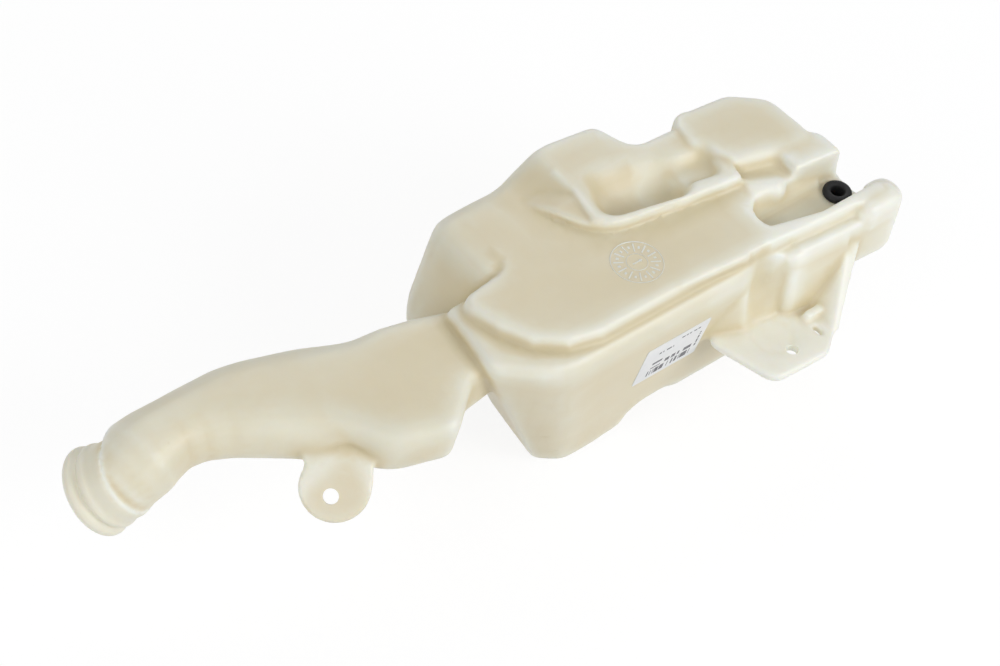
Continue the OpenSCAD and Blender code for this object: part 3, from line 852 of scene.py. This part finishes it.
def make_label():
    """The sheet, turned and moved on to the leaning wall."""
    round_r, steps = LABEL_ROUND, LABEL_STEPS
    outline = []
    for cx, cz, a0 in ((1, 1, 0), (-1, 1, 90), (-1, -1, 180), (1, -1, 270)):
        for k in range(steps + 1):
            a = math.radians(a0 + 90 * k / steps)
            outline.append((cx * (LABEL_L / 2 - round_r) + round_r * math.cos(a),
                            cz * (LABEL_H / 2 - round_r) + round_r * math.sin(a)))
    n = len(outline)
    points = [(x * MM, 0, z * MM) for x, z in outline]
    points += [(x * MM, -LABEL_EDGE * LABEL_T * MM, z * MM) for x, z in outline]
    inset = 1 - LABEL_INSET / (LABEL_H / 2)
    points += [(x * inset * MM, -LABEL_T * MM, z * inset * MM) for x, z in outline]
    faces = []
    for here, above in ((0, n), (n, 2 * n)):
        for i in range(n):
            j = (i + 1) % n
            faces.append((here + i, here + j, above + j, above + i))
    faces += [tuple(range(n - 1, -1, -1)), tuple(range(2 * n, 3 * n))]
    obj = outward(new_object("paper_label", points, faces, LABEL_SHARP))
    lean = Matrix.Rotation(math.radians(FRONT_LEAN), 4, "X")
    corner = Matrix.Translation(Vector(to_model((LABEL_X, FRONT_Y, LEDGE_H))))
    down = Matrix.Translation((0, 0, -(LABEL_DOWN + LABEL_H / 2) * MM))
    obj.matrix_world = corner @ lean @ down
    return obj


label = make_label()


# Materials

class Nodes:
    """A material's node tree, with short ways to add and join nodes."""

    def __init__(self, name):
        self.material = bpy.data.materials.new(name)
        self.material.use_nodes = True
        self.tree = self.material.node_tree
        self.tree.nodes.clear()
        self.out = self.tree.nodes.new("ShaderNodeOutputMaterial")

    def add(self, kind, **values):
        node = self.tree.nodes.new(kind)
        for key, value in values.items():
            setattr(node, key, value)
        return node

    def join(self, a, b):
        self.tree.links.new(a, b)

    def math(self, operation, a, b=None, c=None, clamp=False):
        node = self.add("ShaderNodeMath", operation=operation, use_clamp=clamp)
        for i, value in enumerate((a, b, c)):
            if value is None:
                continue
            if isinstance(value, (int, float)):
                node.inputs[i].default_value = value
            else:
                self.join(value, node.inputs[i])
        return node.outputs[0]

    def noise(self, vector, scale, detail, roughness=0.5):
        node = self.add("ShaderNodeTexNoise")
        node.inputs["Scale"].default_value = scale
        node.inputs["Detail"].default_value = detail
        node.inputs["Roughness"].default_value = roughness
        self.join(vector, node.inputs["Vector"])
        return node.outputs["Fac"]

    def ramp(self, fac, stops):
        node = self.add("ShaderNodeValToRGB")
        elements = node.color_ramp.elements
        while len(elements) < len(stops):
            elements.new(0.5)
        for element, (at, colour) in zip(elements, stops):
            element.position = at
            element.color = (*colour, 1)
        self.join(fac, node.inputs["Fac"])
        return node.outputs["Color"]

    def bump(self, height, strength, distance, normal=None):
        node = self.add("ShaderNodeBump")
        node.inputs["Strength"].default_value = strength
        node.inputs["Distance"].default_value = distance
        self.join(height, node.inputs["Height"])
        if normal is not None:
            self.join(normal, node.inputs["Normal"])
        return node.outputs["Normal"]

    def shader(self, **values):
        node = self.add("ShaderNodeBsdfPrincipled")
        for key, value in values.items():
            node.inputs[key.replace("_", " ")].default_value = value
        self.join(node.outputs["BSDF"], self.out.inputs["Surface"])
        return node


def plastic_material():
    """Cream polyethylene, cloudy and slightly wavy, with the tone of each point, which carries painted
    highlight and painted shade.
    """
    n = Nodes("natural_polyethylene")
    place = n.add("ShaderNodeTexCoord").outputs["Object"]
    tone = n.add("ShaderNodeAttribute", attribute_name="tone").outputs["Fac"]
    cloud = n.noise(place, scale=14, detail=3, roughness=0.55)
    flow = n.noise(place, scale=60, detail=4, roughness=0.6)
    mixed = n.math("ADD", tone, n.math("MULTIPLY_ADD", cloud, 0.30, -0.15))
    mixed = n.math("ADD", mixed, n.math("MULTIPLY_ADD", flow, 0.12, -0.06), clamp=True)
    # Low tones are painted shade in creases and hollows, high tones painted highlight and painted light
    # through thin webs
    colour = n.ramp(mixed, [
        (0.0, (0.58, 0.48, 0.28)),
        (0.3, (0.69, 0.605, 0.40)),
        (0.5, (0.745, 0.665, 0.475)),
        (0.72, (0.81, 0.77, 0.62)),
        (1.0, (0.90, 0.90, 0.82)),
    ])
    rough = n.math("MULTIPLY_ADD", flow, 0.16, 0.33)
    wave = n.noise(place, scale=45, detail=2, roughness=0.4)
    peel = n.noise(place, scale=620, detail=3, roughness=0.5)
    waved = n.bump(wave, strength=0.10, distance=0.004)
    normal = n.bump(peel, strength=0.10, distance=0.0004, normal=waved)
    shader = n.shader(Subsurface_Weight=0.35, Subsurface_Scale=0.004, IOR=1.5)
    shader.inputs["Subsurface Radius"].default_value = (1.0, 0.8, 0.5)
    n.join(colour, shader.inputs["Base Color"])
    n.join(rough, shader.inputs["Roughness"])
    n.join(normal, shader.inputs["Normal"])
    return n.material


def rubber_material():
    """Matt black rubber with fine grain and a little dust."""
    n = Nodes("black_rubber")
    place = n.add("ShaderNodeTexCoord").outputs["Object"]
    grain = n.noise(place, scale=900, detail=3, roughness=0.6)
    dust = n.noise(place, scale=160, detail=4, roughness=0.6)
    colour = n.ramp(dust, [(0.3, (0.010, 0.010, 0.011)), (0.7, (0.028, 0.028, 0.030))])
    rough = n.math("MULTIPLY_ADD", dust, 0.25, 0.38)
    shader = n.shader(IOR=1.5, Specular_IOR_Level=0.2)
    n.join(colour, shader.inputs["Base Color"])
    n.join(rough, shader.inputs["Roughness"])
    n.join(n.bump(grain, strength=0.2, distance=0.0003), shader.inputs["Normal"])
    return n.material


# The colour sockets of a Mix node, which share their names with its other sockets
MIX_COLOUR_A, MIX_COLOUR_B, MIX_COLOUR_OUT = 6, 7, 2


def paper_material():
    """White paper with plain dark bars and dashes that spell nothing."""
    n = Nodes("printed_paper")
    place = n.add("ShaderNodeTexCoord").outputs["Object"]
    split = n.add("ShaderNodeSeparateXYZ")
    n.join(place, split.inputs[0])
    u = n.math("MULTIPLY", split.outputs["X"], 1000.0)
    v = n.math("MULTIPLY", split.outputs["Z"], 1000.0)

    def inside(x, low, high):
        middle, half = (low + high) / 2, (high - low) / 2
        return n.math("LESS_THAN", n.math("ABSOLUTE", n.math("SUBTRACT", x, middle)), half)

    def chance(x, pitch, share, seed):
        """Whether each cell along x is inked."""
        cell = n.math("FLOOR", n.math("DIVIDE", x, pitch))
        white = n.add("ShaderNodeTexWhiteNoise", noise_dimensions="1D")
        n.join(n.math("ADD", cell, seed), white.inputs["W"])
        return n.math("LESS_THAN", white.outputs["Value"], share)

    def block(u0, u1, v0, v1):
        return n.math("MULTIPLY", inside(u, u0, u1), inside(v, v0, v1))

    # Each block of print: its box in mm, the way its cells run, their pitch, inked share and seed
    ink = None
    for u0, u1, v0, v1, along, pitch, share, seed in (
        (-13, 15, -12.6, -7.8, u, 0.55, 0.58, 3.5),
        (-12, -5.5, -6.4, -0.8, v, 0.9, 0.68, 11.5),
        (-3, 15, -6.2, -3.0, u, 1.3, 0.8, 27.5),
        (-11, -1, 6.2, 7.6, u, 0.8, 0.75, 41.5),
        (2, 15, 10.8, 12.0, u, 0.7, 0.75, 63.5),
        (16.6, 17.8, -8, 6, v, 0.8, 0.7, 87.5),
    ):
        print_here = n.math("MULTIPLY", block(u0, u1, v0, v1), chance(along, pitch, share, seed))
        ink = print_here if ink is None else n.math("MAXIMUM", ink, print_here)
    fibre = n.noise(place, scale=1400, detail=3, roughness=0.6)
    worn = n.math("MULTIPLY", ink, n.math("MULTIPLY_ADD", fibre, 0.4, 0.7, clamp=True))
    shades = n.noise(place, scale=90, detail=3, roughness=0.5)
    paper = n.ramp(shades, [(0.3, (0.80, 0.81, 0.82)), (0.7, (0.86, 0.86, 0.86))])
    mix = n.add("ShaderNodeMix", data_type="RGBA")
    n.join(worn, mix.inputs["Factor"])
    n.join(paper, mix.inputs[MIX_COLOUR_A])
    mix.inputs[MIX_COLOUR_B].default_value = (0.06, 0.06, 0.075, 1)
    shader = n.shader(Roughness=0.55, IOR=1.45)
    n.join(mix.outputs[MIX_COLOUR_OUT], shader.inputs["Base Color"])
    n.join(n.bump(fibre, strength=0.1, distance=0.0002), shader.inputs["Normal"])
    return n.material


def dress(obj, material, slot_name, *nodes):
    """Gives a piece its material and body, and hides the CAD nodes that it stands for; slot_name is not
    used.
    """
    obj.data.materials.clear()
    obj.data.materials.append(material)
    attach(obj, "root")
    if nodes:
        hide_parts(*nodes)


plastic = plastic_material()
dress(tank, plastic, "hdpe", "tank")
dress(dial, plastic, "hdpe")
dress(grommet, rubber_material(), "rubber", "pump_grommet")
dress(label, paper_material(), "paper", "label")


# Stage

FLOOR_SIDE = 12.0
# How much of the floor's own white the camera sees, and its strength, so that it keeps a shadow
FLOOR_WHITE_SHARE, FLOOR_WHITE = 0.8, 1.08
WORLD_LIGHT = 0.34


def make_floor():
    """A pale floor that shows white, with the object's shadow on it."""
    side = FLOOR_SIDE / 2
    corners = [(x * side, y * side, FLOOR_Z) for x, y in ((-1, -1), (1, -1), (1, 1), (-1, 1))]
    floor = new_object("floor", corners, [(0, 1, 2, 3)])
    n = Nodes("pale_floor")
    path = n.add("ShaderNodeLightPath")
    seen = n.math("MAXIMUM", path.outputs["Is Camera Ray"],
                  n.math("MAXIMUM", path.outputs["Is Glossy Ray"], path.outputs["Is Transmission Ray"]))
    paper = n.add("ShaderNodeBsdfDiffuse")
    paper.inputs["Color"].default_value = (0.86, 0.86, 0.86, 1)
    white = n.add("ShaderNodeEmission")
    white.inputs["Strength"].default_value = FLOOR_WHITE
    mix = n.add("ShaderNodeMixShader")
    n.join(n.math("MULTIPLY", seen, FLOOR_WHITE_SHARE), mix.inputs["Fac"])
    n.join(paper.outputs[0], mix.inputs[1])
    n.join(white.outputs[0], mix.inputs[2])
    n.join(mix.outputs[0], n.out.inputs["Surface"])
    floor.data.materials.append(n.material)
    floor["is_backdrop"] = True


def make_world():
    """Soft light all round, which shows as plain white."""
    world = bpy.data.worlds.new("studio")
    bpy.context.scene.world = world
    world.use_nodes = True
    tree = world.node_tree
    tree.nodes.clear()
    out = tree.nodes.new("ShaderNodeOutputWorld")
    path = tree.nodes.new("ShaderNodeLightPath")
    seen = tree.nodes.new("ShaderNodeMath")
    seen.operation = "MAXIMUM"
    through = tree.nodes.new("ShaderNodeMath")
    through.operation = "MAXIMUM"
    tree.links.new(path.outputs["Is Glossy Ray"], through.inputs[0])
    tree.links.new(path.outputs["Is Transmission Ray"], through.inputs[1])
    tree.links.new(path.outputs["Is Camera Ray"], seen.inputs[0])
    tree.links.new(through.outputs[0], seen.inputs[1])
    lit = tree.nodes.new("ShaderNodeBackground")
    shown = tree.nodes.new("ShaderNodeBackground")
    mix = tree.nodes.new("ShaderNodeMixShader")
    lit.inputs["Color"].default_value = (0.97, 0.98, 1.0, 1)
    lit.inputs["Strength"].default_value = WORLD_LIGHT
    shown.inputs["Strength"].default_value = 1.0
    shown.inputs["Color"].default_value = (1, 1, 1, 1)
    tree.links.new(seen.outputs[0], mix.inputs["Fac"])
    tree.links.new(lit.outputs[0], mix.inputs[1])
    tree.links.new(shown.outputs[0], mix.inputs[2])
    tree.links.new(mix.outputs[0], out.inputs["Surface"])


def area_lamp(name, place, target, side, power):
    """A square lamp that faces a point."""
    lamp = bpy.data.lights.new(name, "AREA")
    lamp.shape = "SQUARE"
    lamp.size = side
    lamp.energy = power
    obj = bpy.data.objects.new(name, lamp)
    obj.location = place
    obj.rotation_mode = "QUATERNION"
    obj.rotation_quaternion = (Vector(target) - Vector(place)).to_track_quat("-Z", "Y")
    bpy.context.scene.collection.objects.link(obj)


def make_camera():
    """The photograph's viewing angle and frame."""
    data = bpy.data.cameras.new("camera")
    data.sensor_fit = "HORIZONTAL"
    data.sensor_width = 36.0
    data.lens = 94.5
    data.clip_start, data.clip_end = 0.01, 50
    obj = bpy.data.objects.new("camera", data)
    eye = (-0.7198, -0.4782, 0.9683)
    right = (0.77467, -0.62073, 0.12078)
    up = (0.41830, 0.64623, 0.63829)
    back = (-0.47425, -0.44394, 0.76026)
    turn = Matrix((right, up, back)).transposed().to_4x4()
    obj.matrix_world = Matrix.Translation(eye) @ turn
    bpy.context.scene.collection.objects.link(obj)
    bpy.context.scene.camera = obj


make_floor()
make_world()
# The lamps face the object's middle: place and side in metres, power in watts
MIDDLE = (-0.12, 0.06, 0.0)
area_lamp("key", (0.5, -1.2, 0.8), MIDDLE, 0.9, 12.5)
area_lamp("fill", (-1.3, -0.2, 0.8), MIDDLE, 1.2, 7)
area_lamp("back", (0.5, 1.0, 1.0), MIDDLE, 0.8, 4)
make_camera()

bpy.context.scene.view_settings.view_transform = "Standard"

low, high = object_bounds()
